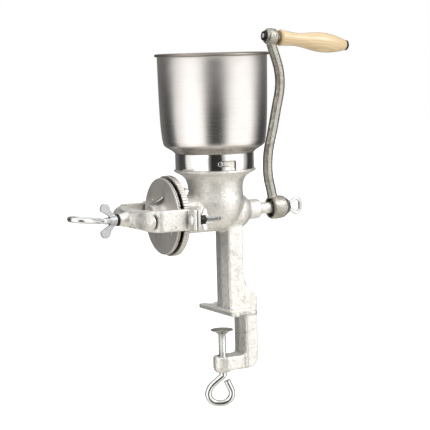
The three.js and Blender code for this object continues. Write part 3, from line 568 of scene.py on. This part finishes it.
# joins the shells in bm and rounds their corners, as a casting's are
def asCast(bm, voxel, passes):
    made = newObject("casting", bm)
    remesh = made.modifiers.new("remesh", "REMESH")
    remesh.mode, remesh.voxel_size = "VOXEL", voxel
    settled(made)
    smooth = made.modifiers.new("smooth", "SMOOTH")
    smooth.factor, smooth.iterations = 0.5, passes
    return toBmesh(settled(made))


def turned(bm, degrees, axis, centre=(0, 0, 0)):
    turn = Matrix.Rotation(math.radians(degrees), 3, axis)
    bmesh.ops.rotate(bm, verts=bm.verts, cent=centre, matrix=turn)
    return bm


def moved(bm, vec):
    bmesh.ops.translate(bm, verts=bm.verts, vec=vec)
    return bm


# bm in the mill's millimetres becomes a named piece that stands for the node of that name
def finished(node, bm, body, material, sharp=32):
    bmesh.ops.scale(bm, verts=bm.verts, vec=(mm,) * 3)
    bmesh.ops.translate(bm, verts=bm.verts, vec=mill)
    name = "fine_" + node
    made = newObject(name, bm)
    made.data.polygons.foreach_set("use_smooth", [True] * len(made.data.polygons))
    made.data.set_sharp_from_angle(angle=math.radians(sharp))
    made.data.materials.clear()
    made.data.materials.append(material)
    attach(made, body)
    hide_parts(node)
    print(name, len(made.data.polygons), "faces")


# hopper

neckBox, bowlBox = millBox("hopper_neck"), millBox("hopper_bowl")
neckR = neckBox[1].x

bowlSet = {
    "wall": 1.2, "spoutR": neckR - 1.5, "spoutDeep": 3,
    "beadR": 1.7, "rimR": bowlBox[1].x - 3.045, "top": bowlBox[1].z - 1.7,
    "taper": 3.6, "side": 98, "steps": 144,
}


def makeBowl():
    wall, shelf = bowlSet["wall"], bowlBox[0].z + bowlSet["spoutDeep"]
    rimR, top = bowlSet["rimR"], bowlSet["top"]
    foot, footZ = rimR - bowlSet["taper"], top - bowlSet["side"]
    outer = smoothed([
        (neckR + 0.7, shelf), (neckR + 3.2, shelf + 2.4), (foot - 5.2, shelf + 6.3),
        (foot - 1.9, footZ - 7.8), (foot - 0.5, footZ - 3.6), (foot, footZ), (foot + 1, footZ + 9),
        (foot + 1.9, footZ + 22),
        (rimR - 0.8, footZ + 50), (rimR, top - 2.4),
    ], 5)
    outer = [tuple(point) for point in outer]
    bead = arc(rimR + 1.36, top, bowlSet["beadR"], -120, 180, 14)
    inner = [(r - wall, z + wall * 0.4) for r, z in reversed(outer[3:])]
    spout = bowlSet["spoutR"]
    lip = [(spout - wall, shelf + wall), (spout - wall, bowlBox[0].z), (spout, bowlBox[0].z), (spout, shelf)]
    shape = spun([*outer, *bead, *inner, *lip], Vector(), zAxis, bowlSet["steps"], True)
    finished("hopper_bowl", shape, "hopper", satinSteel, 40)


neckSet = {
    "wall": 1.2, "opens": -90, "mouth": 7.0, "leg": 7.0, "rise": 4.5, "legTurn": 23.9,  # mm and degrees
    "corner": 1.9, "steps": 160,
}


# the slot's outline laid flat, rounded, then wrapped round the neck and drawn outwards
def slotCutter(turn):
    low = neckBox[0].z
    side, leg = neckSet["mouth"] / 2, low + neckSet["rise"]
    end = -math.radians(neckSet["legTurn"]) * neckR
    outline = [(side, low - 2), (side, leg + neckSet["leg"]), (end, leg + neckSet["leg"]), (end, leg),
               (-side, leg), (-side, low - 2)]
    bm = bmesh.new()
    face = bm.faces.new([bm.verts.new((x, 0, z)) for x, z in outline])
    inside = [v for v in face.verts if v.co.z > low]
    bmesh.ops.bevel(bm, geom=inside, offset=neckSet["corner"], offset_type="OFFSET", affect="VERTICES",
                    segments=5, profile=0.5, material=-1)
    bmesh.ops.subdivide_edges(bm, edges=[e for e in bm.edges if e.calc_length() > 5], cuts=6)
    for vert in bm.verts:
        angle = vert.co.x / neckR + math.radians(neckSet["opens"] + turn)
        vert.co = ((neckR - 4) * math.cos(angle), (neckR - 4) * math.sin(angle), vert.co.z)
    drawn = bmesh.ops.extrude_face_region(bm, geom=bm.faces[:])["geom"]
    grow = 1 + 8 / (neckR - 4)
    bmesh.ops.scale(bm, verts=[v for v in drawn if isinstance(v, bmesh.types.BMVert)], vec=(grow, grow, 1))
    bmesh.ops.triangulate(bm, faces=bm.faces)
    bmesh.ops.recalc_face_normals(bm, faces=bm.faces)
    return bm


def makeNeck():
    profile = ring(neckR - neckSet["wall"], neckR, neckBox[0].z, neckBox[1].z)
    band = softened(spun(profile, Vector(), zAxis, neckSet["steps"], True), 0.25)
    finished("hopper_neck", cutBy(band, slotCutter(0), slotCutter(180)), "hopper",
             polishedSteel)


def makeBayonetPins():
    for node, turn in (("bayonet_pin_near", -110), ("bayonet_pin_far", 70)):
        low, high = millBox(node)
        z, r = (low.z + high.z) / 2, (high.z - low.z) / 2
        reach = math.hypot(*(max(low[k], high[k], key=abs) for k in (0, 1)))
        end = arc(r - 0.5, reach - 0.6, 0.5, 0, 90, 4)
        profile = [(0, 41), (r, 41), (r, reach - 0.6), *end, (0, reach - 0.1)]
        pin = turned(spun(profile, Vector(), xAxis, 32), turn, "Z")
        finished(node, moved(pin, (0, 0, z)), "frame", zincSteel)


makeBowl()
makeNeck()
makeBayonetPins()
print("hopper made")


# castings

castingSet = {"voxel": 1.3, "passes": 7}


def makeCasting():
    bm = copied("body_casting")
    body = asCast(bm, castingSet["voxel"], castingSet["passes"])
    finished("body_casting", body, "frame", castTin, 180)


yokeSet = {"voxel": 0.9, "passes": 5, "swell": (-106, 31, 0), "swellSize": (9.5, 24, 12.4)}


def makeYoke():
    bm = copied("yoke")
    for side in (-1, 1):
        swell = bmesh.new()
        bmesh.ops.create_uvsphere(swell, u_segments=32, v_segments=20, radius=1)
        everything = swell.verts[:] + swell.edges[:] + swell.faces[:]
        bmesh.ops.bisect_plane(
            swell, geom=everything, plane_co=(0.05, 0, 0), plane_no=xAxis, clear_outer=True,
        )
        bmesh.ops.holes_fill(swell, edges=swell.edges)
        bmesh.ops.scale(swell, verts=swell.verts, vec=yokeSet["swellSize"])
        x, y, z = yokeSet["swell"]
        added(bm, moved(swell, (x, side * y, z)))
    bridge = asCast(bm, yokeSet["voxel"], yokeSet["passes"])
    finished("yoke", bridge, "frame", castTin, 180)


smallSet = {
    "auger_shaft": ("rotor", "cast_iron_tinned", castTin, 0.8, 4),
    "crank_arm": ("rotor", "cast_iron_dark", castCrank, 0.7, 5),
    "lock_wing_nut": ("lock_nut", "zinc_steel", castZinc, 0.4, 5),
    "stationary_burr_nut_near": ("frame", "zinc_steel", zincSteel, 0.25, 2),
    "stationary_burr_nut_far": ("frame", "zinc_steel", zincSteel, 0.25, 2),
}


def makeSmallCastings():
    for node, (body, slot, material, voxel, passes) in smallSet.items():
        finished(node, asCast(copied(node), voxel, passes), body, material, 180)
    for side in ("near", "far"):
        node = "yoke_wing_nut_" + side
        low, high = boxOf(node)
        # each wing nut's hub is painted black as shade
        steel = makePlated("nutSteel_" + side, zincGrey, 0.2, hub=(low + high) / 2)
        finished(node, asCast(copied(node), 0.3, 4), side + "_nut", steel, 180)


makeCasting()
makeYoke()
makeSmallCastings()
print("castings made")


# burrs

burrSet = {
    "eyeR": 21, "steps": 240, "teeth": 20, "toothDeep": 0.9, "ribDeep": 0.8,
    "screwCircle": 37, "screwAngle": 127, "rotatingShare": 0.8, "still": (5.2, 2.75), "moving": (3.6, 2),
}


# a toothed ring; the verts of its face and rim are pressed in at the grooves
def toothedRing(low, high, outer, faceX, inward):
    bm = spun([
        (burrSet["eyeR"], low), (33, low), (outer - 0.6, low), (outer, low + 0.5), (outer, high - 0.5),
        (outer - 0.6, high), (33, high), (burrSet["eyeR"], high),
    ], Vector(), xAxis, burrSet["steps"], True)
    perTooth = burrSet["steps"] // burrSet["teeth"]
    for vert in bm.verts:
        column = round(math.atan2(vert.co.z, vert.co.y) / math.tau * burrSet["steps"])
        if abs(vert.co.x - faceX) < 0.01 and column % perTooth == 0:
            vert.co.x += inward * burrSet["toothDeep"]
        reach = math.hypot(vert.co.y, vert.co.z)
        if reach > outer - 0.1 and column % 3 == 0:
            share = 1 - burrSet["ribDeep"] / reach
            vert.co.y *= share
            vert.co.z *= share
    return bm


def screwPlaces(turn, share):
    angles = [math.radians(burrSet["screwAngle"] + turn + more) for more in (0, 180)]
    reach = burrSet["screwCircle"] * share
    return [Vector((0, reach * math.cos(a), reach * math.sin(a))) for a in angles]


def makeBurrs():
    low, high = millBox("stationary_burr")
    still = toothedRing(low.x, high.x, high.z, low.x, 1)
    wide, fine = burrSet["still"]
    holes = [moved(spun([(0, low.x - 2), (wide, low.x - 2), (wide, low.x + 1.8), (fine, low.x + 4.2),
                         (fine, high.x + 2), (0, high.x + 2)], Vector(), xAxis, 32), place)
             for place in screwPlaces(0, 1)]
    finished("stationary_burr", cutBy(still, *holes), "frame", burrIron)
    low, high = millBox("rotating_burr")
    moving = toothedRing(low.x, high.x, high.z, high.x, -1)
    wide, fine = burrSet["moving"]
    holes = [moved(spun([(0, high.x + 1), (wide, high.x + 1), (wide, high.x), (fine, high.x - 1.6),
                         (fine, low.x - 1), (0, low.x - 1)], Vector(), xAxis, 32), place)
             for place in screwPlaces(90, burrSet["rotatingShare"])]
    finished("rotating_burr", cutBy(moving, *holes), "rotor", burrIron)


carrierSet = {"hubR": 14, "round": 1.4, "fillet": 6.5, "thick": 1.9, "square": 12.7, "steps": 120}


def makeCarrier():
    low, high = millBox("burr_carrier")
    hub, face, rim = low.x, high.x - carrierSet["thick"], high.z
    hubR, edge, bend = carrierSet["hubR"], carrierSet["round"], carrierSet["fillet"]
    end = arc(hubR - edge, hub + edge, edge, -90, 0, 4)[1:]
    fillet = arc(hubR + bend, face - bend, bend, 180, 90, 8)[1:]
    shape = spun([
        (0, hub), (hubR - edge, hub), *end, (hubR, face - bend), *fillet, (34, face + 0.15),
        (rim - 1.2, face), *arc(rim - 1.2, face + 1.2, 1.2, -90, 0, 4)[1:],
        (rim, high.x - 0.3), (rim - 0.3, high.x), (0, high.x),
    ], Vector(), xAxis, carrierSet["steps"])
    square = bmesh.new()
    bmesh.ops.create_cube(square, size=1)
    bmesh.ops.scale(square, verts=square.verts, vec=(60, carrierSet["square"], carrierSet["square"]))
    moved(square, ((hub + high.x) / 2, 0, 0))
    pinHole = spun([(0, -30), (1.85, -30), (1.85, 30), (0, 30)], Vector((hub + 6, 0, 0)), zAxis, 24)
    turned(pinHole, -45, "X", (hub + 6, 0, 0))
    finished("burr_carrier", cutBy(shape, square, pinHole), "rotor", burrIron)


lockPinSet = {"r": 1.5, "inHub": 6}


def makeLockPin():
    hub = millBox("burr_carrier")
    x, disc = hub[0].x + lockPinSet["inHub"], hub[1].x - carrierSet["thick"]
    points = [(x, -11.6, -11.6), (x, -5, -5), (x, 5, 5), (x, 10.3, 10.4), (x + 1.2, 10.6, 13.4),
              (x + 4.2, 0, 18.4), (disc - 2.1, -9, 23.5)]
    finished("lock_pin", softened(wire(points, lockPinSet["r"]), 0.3), "rotor", zincSteel)


# a countersunk screw with a driver's slot, its head facing -way along X
def burrScrew(node, body, way):
    low, high = millBox(node)
    centre = Vector((0, (low.y + high.y) / 2, (low.z + high.z) / 2))
    head, tail = (low.x, high.x) if way > 0 else (high.x, low.x)
    r = (high.z - low.z) / 2
    shape = spun([(0, 0), (r - 0.25, 0), (r, 0.25), (r / 2, r / 2), (r / 2, abs(tail - head) - 0.4),
                  (r / 2 - 0.4, abs(tail - head)), (0, abs(tail - head))], Vector(), xAxis * way, 40)
    slot = bmesh.new()
    bmesh.ops.create_cube(slot, size=1)
    bmesh.ops.scale(slot, verts=slot.verts, vec=(1.6, 1.0, 14))
    shape = cutBy(shape, turned(slot, 35, "X"))
    finished(node, moved(shape, centre + xAxis * head), body, zincSteel)


makeBurrs()
makeCarrier()
makeLockPin()
for side in ("near", "far"):
    burrScrew("stationary_burr_screw_" + side, "frame", 1)
    burrScrew("rotating_burr_screw_" + side, "rotor", -1)
print("burrs made")


# plain turned pieces

ballBox = millBox("thrust_ball")
ball = bmesh.new()
bmesh.ops.create_uvsphere(ball, u_segments=40, v_segments=24, radius=(ballBox[1].z - ballBox[0].z) / 2)
finished("thrust_ball", moved(ball, (ballBox[0] + ballBox[1]) / 2), "thrust", zincSteel)

washerSet = {
    "lock_washer": ("lock_nut_washer", 4.35), "crank_washer": ("crank_screw_washer", 2.85),
    "yoke_washer_near": ("near_nut_washer", 3.25), "yoke_washer_far": ("far_nut_washer", 3.25),
}
for node, (body, boreR) in washerSet.items():
    low, high = millBox(node)
    middle = Vector((0, (low.y + high.y) / 2, (low.z + high.z) / 2))
    profile = ring(boreR, (high.z - low.z) / 2, low.x, high.x)
    finished(node, softened(spun(profile, middle, xAxis, 56, True), 0.2), body, blackSteel)

boltSet = {"r": 2.9, "headR": 6.4, "headHigh": 3, "pitch": 0.8}


def makeYokeBolts():
    for side in ("near", "far"):
        low, high = millBox("yoke_bolt_" + side)
        y, z = (low.y + high.y) / 2, (low.z + high.z) / 2
        head, r = low.x + boltSet["headHigh"], boltSet["r"]
        dome = [(boltSet["headR"] * math.sin(t), head - 0.4 - 2.6 * math.cos(t))
                for t in (math.radians(9 * i) for i in range(11))]
        profile = [*dome, (boltSet["headR"], head), (r, head), (r, high.x - 1), (r - 0.7, high.x),
                   (0, high.x)]
        shape = spun(profile, Vector((0, y, z)), xAxis, 48)
        centre = mill + Vector((0, y, z)) * mm
        threads = (0, centre, boltSet["pitch"] * mm,
                   mill.x + (high.x - 32) * mm, mill.x + (high.x - 0.4) * mm)
        steel = makePlated("boltSteel_" + side, zincGrey, 0.2, threads)
        finished("yoke_bolt_" + side, shape, "frame", steel)


makeYokeBolts()
print("washers and bolts made")


# eye screws

# a shank along +Z that bends into a wide eye, which leans to -X and rises to +Y; its end stops at the neck
def eyeScrew(shank, wireR, start, neck, end, wide, lean, rise):
    way = 1 if end > neck else -1
    long, half = abs(end - neck) - wireR, wide / 2 - wireR
    points = [
        (0, -0.12, 0), (0, 0, 0), (-0.42, 0.2, 0.5), (-0.78, 0.38, 0.85), (-0.98, 0.6, 1), (-0.9, 0.8, 1),
        (-0.52, 0.96, 1), (0, 1, 1), (0.52, 0.96, 1), (0.9, 0.8, 1), (0.98, 0.6, 1), (0.82, 0.42, 1),
        (0.62, 0.28, 0.8), (0.46, 0.19, 0.5),
    ]
    loop = [(x * half - lean * leant, rise * max(0, share), neck + way * long * share)
            for x, share, leant in points]
    rod = spun([(0, start), (shank, start), (shank, neck - way * 2.5), (wireR * 0.97, neck + way * 1.5),
                (0, neck + way * 1.5)], Vector(), zAxis, 48)
    return added(rod, wire(loop, wireR, 8))


adjustSet = {"r": 4, "wireR": 3.2, "loopLong": 44, "wide": 33, "rise": 5, "pitch": 1.5}


def makeAdjustingScrew():
    low, high = millBox("adjusting_screw")
    neck = low.x + adjustSet["loopLong"]
    shape = eyeScrew(adjustSet["r"], adjustSet["wireR"], -high.x, -neck, -low.x, adjustSet["wide"], 0,
                     adjustSet["rise"])
    turned(shape, -90, "Z")
    turned(shape, -90, "Y")
    threads = (0, mill, adjustSet["pitch"] * mm, mill.x + (neck + 2) * mm, mill.x + high.x * mm)
    steel = makePlated("adjustingSteel", zincGrey, 0.18, threads)
    finished("adjusting_screw", shape, "adjuster", steel)


clampSet = {"r": 4.5, "wireR": 4, "loopLong": 38, "wide": 37, "lean": 4, "turn": -22, "pitch": 1.5}


def makeClampScrew():
    low, high = millBox("clamp_screw")
    padLow, padHigh = millBox("clamp_pad")
    x = (padLow.x + padHigh.x) / 2
    neck, shoulder = low.z + clampSet["loopLong"], padLow.z - 0.3
    r = clampSet["r"]
    shape = eyeScrew(r, clampSet["wireR"], shoulder, neck, low.z, clampSet["wide"], clampSet["lean"], 0)
    tip = spun([(0, shoulder - 1), (r - 1.3, shoulder - 1), (r - 1.3, high.z - 1.6), (r, high.z - 1.6),
                (r - 0.5, high.z - 0.6), (r - 1.8, high.z - 0.1), (0, high.z)], Vector(), zAxis, 48)
    turned(added(shape, tip), clampSet["turn"], "Z")
    threads = (2, mill + xAxis * x * mm, clampSet["pitch"] * mm,
               mill.z + (neck + 4) * mm, mill.z + shoulder * mm)
    steel = makePlated("clampSteel", (0.8, 0.81, 0.8, 1), 0.16, threads)
    finished("clamp_screw", moved(shape, (x, 0, 0)), "clamp", steel)


def makeClampPad():
    low, high = millBox("clamp_pad")
    x, r, top = (low.x + high.x) / 2, (high.x - low.x) / 2, high.z
    profile = [
        (3.6, low.z), *arc(5.4, low.z + 0.5, 0.5, -90, 0, 3), (6.8, low.z + 1.5), (10, top - 2.1),
        (r - 0.7, top - 1.1), *arc(r - 0.55, top - 0.55, 0.55, -60, 90, 5), (r - 2.2, top - 0.15),
        (8.9, top - 1.7), (6.4, top - 3.1), (3.6, top - 3.2),
    ]
    finished("clamp_pad", spun(profile, Vector((x, 0, 0)), zAxis, 72, True), "pad", padSteel)


crankEyeSet = {"footR": 5.6, "wireR": 2.3, "wide": 23}


def makeCrankEyeScrew():
    low, high = millBox("crank_eye_screw")
    seat = millBox("crank_washer")[1].x + 0.3
    r, half = crankEyeSet["wireR"], crankEyeSet["wide"] / 2 - crankEyeSet["wireR"]
    reach = high.x - r
    foot = spun([(0, low.x), (2.1, low.x), (2.5, low.x + 0.5), (2.5, seat), (5.3, seat), (5.6, seat + 0.3),
                 (5.6, seat + 1.2), (5.2, seat + 1.6), (0, seat + 1.6)], Vector(), xAxis, 40)
    points = [(seat + 0.6, 0, 2.5), (seat + 3.6, 0, 4.2), (seat + 8.5, 0, 7.6), (reach - 5, 0, half - 0.3),
              (reach - 1.6, 0, half - 2.4), (reach, 0, half * 0.45), (reach, 0, -half * 0.45),
              (reach - 1.6, 0, -half + 2.4), (reach - 5, 0, -half + 0.3), (seat + 8.5, 0, -7.6),
              (seat + 3.6, 0, -4.2), (seat + 0.6, 0, -2.5)]
    finished("crank_eye_screw", added(foot, wire(points, r)), "crank_screw", zincSteel)


makeAdjustingScrew()
makeClampScrew()
makeClampPad()
makeCrankEyeScrew()
print("screws made")


# handle

handleSet = {
    "boss": (80.7, 0, 205.5),  # where the grip's pin crosses the crank's boss
    "start": 11.2, "long": 94, "capThick": 3, "r": 12, "pinR": 3, "boreR": 3.35, "bossWide": 16,
}


def makeHandle():
    boss, line = Vector(handleSet["boss"]), gripLine
    start, long, r = handleSet["start"], handleSet["long"], handleSet["r"]
    bore, pinR = handleSet["boreR"], handleSet["pinR"]
    shares = [
        (0.78, 0.052), (0.745, 0.12), (0.68, 0.2), (0.675, 0.27), (0.735, 0.35), (0.83, 0.43), (0.925, 0.51),
        (0.985, 0.59), (1.0, 0.66), (0.965, 0.74), (0.88, 0.82), (0.76, 0.89), (0.64, 0.95), (0.55, 0.985),
    ]
    body = [tuple(p) for p in smoothed([(r * a, start + long * b) for a, b in shares], 4)]
    bead = arc(r * 0.76, start + long * 0.024, r * 0.085, -70, 75, 6)
    end = [(r * 0.5, start + long), (bore, start + long)]
    profile = [(bore, start), (r * 0.74, start), (r * 0.78, start + 0.5), *bead,
               (r * 0.775, start + long * 0.046)]
    grip = spun([*profile, *body, *end], boss, line, 96, True)
    finished("handle_grip", grip, "grip", gripWood, 40)
    cap = start + long + 0.3
    top = cap + handleSet["capThick"]
    capProfile = [(bore, cap), (5.9, cap), (6.24, cap + 0.4), (6.1, top - 0.8), (5, top - 0.1), (bore, top)]
    finished("handle_cap", spun(capProfile, boss, line, 56, True), "rotor", blackSteel)
    nut = -handleSet["bossWide"] / 2 - 0.3
    profile = softened(spun(ring(bore, 5.6, nut - 2.6, nut), boss, line, 56, True), 0.45)
    finished("handle_pin_nut", profile, "rotor", blackSteel)
    tail, head = -handleSet["bossWide"] / 2 - 4.4, top + 0.3
    pin = [(0, tail), (1.7, tail + 0.1), (2.7, tail + 0.6), (pinR, tail + 1.1), (pinR, head), (4.2, head),
           (3.9, head + 0.6), (3.1, head + 1.15), (1.6, head + 1.4), (0, head + 1.45)]
    finished("handle_pin", spun(pin, boss, line, 48), "rotor", zincSteel)


makeHandle()
print("handle made")
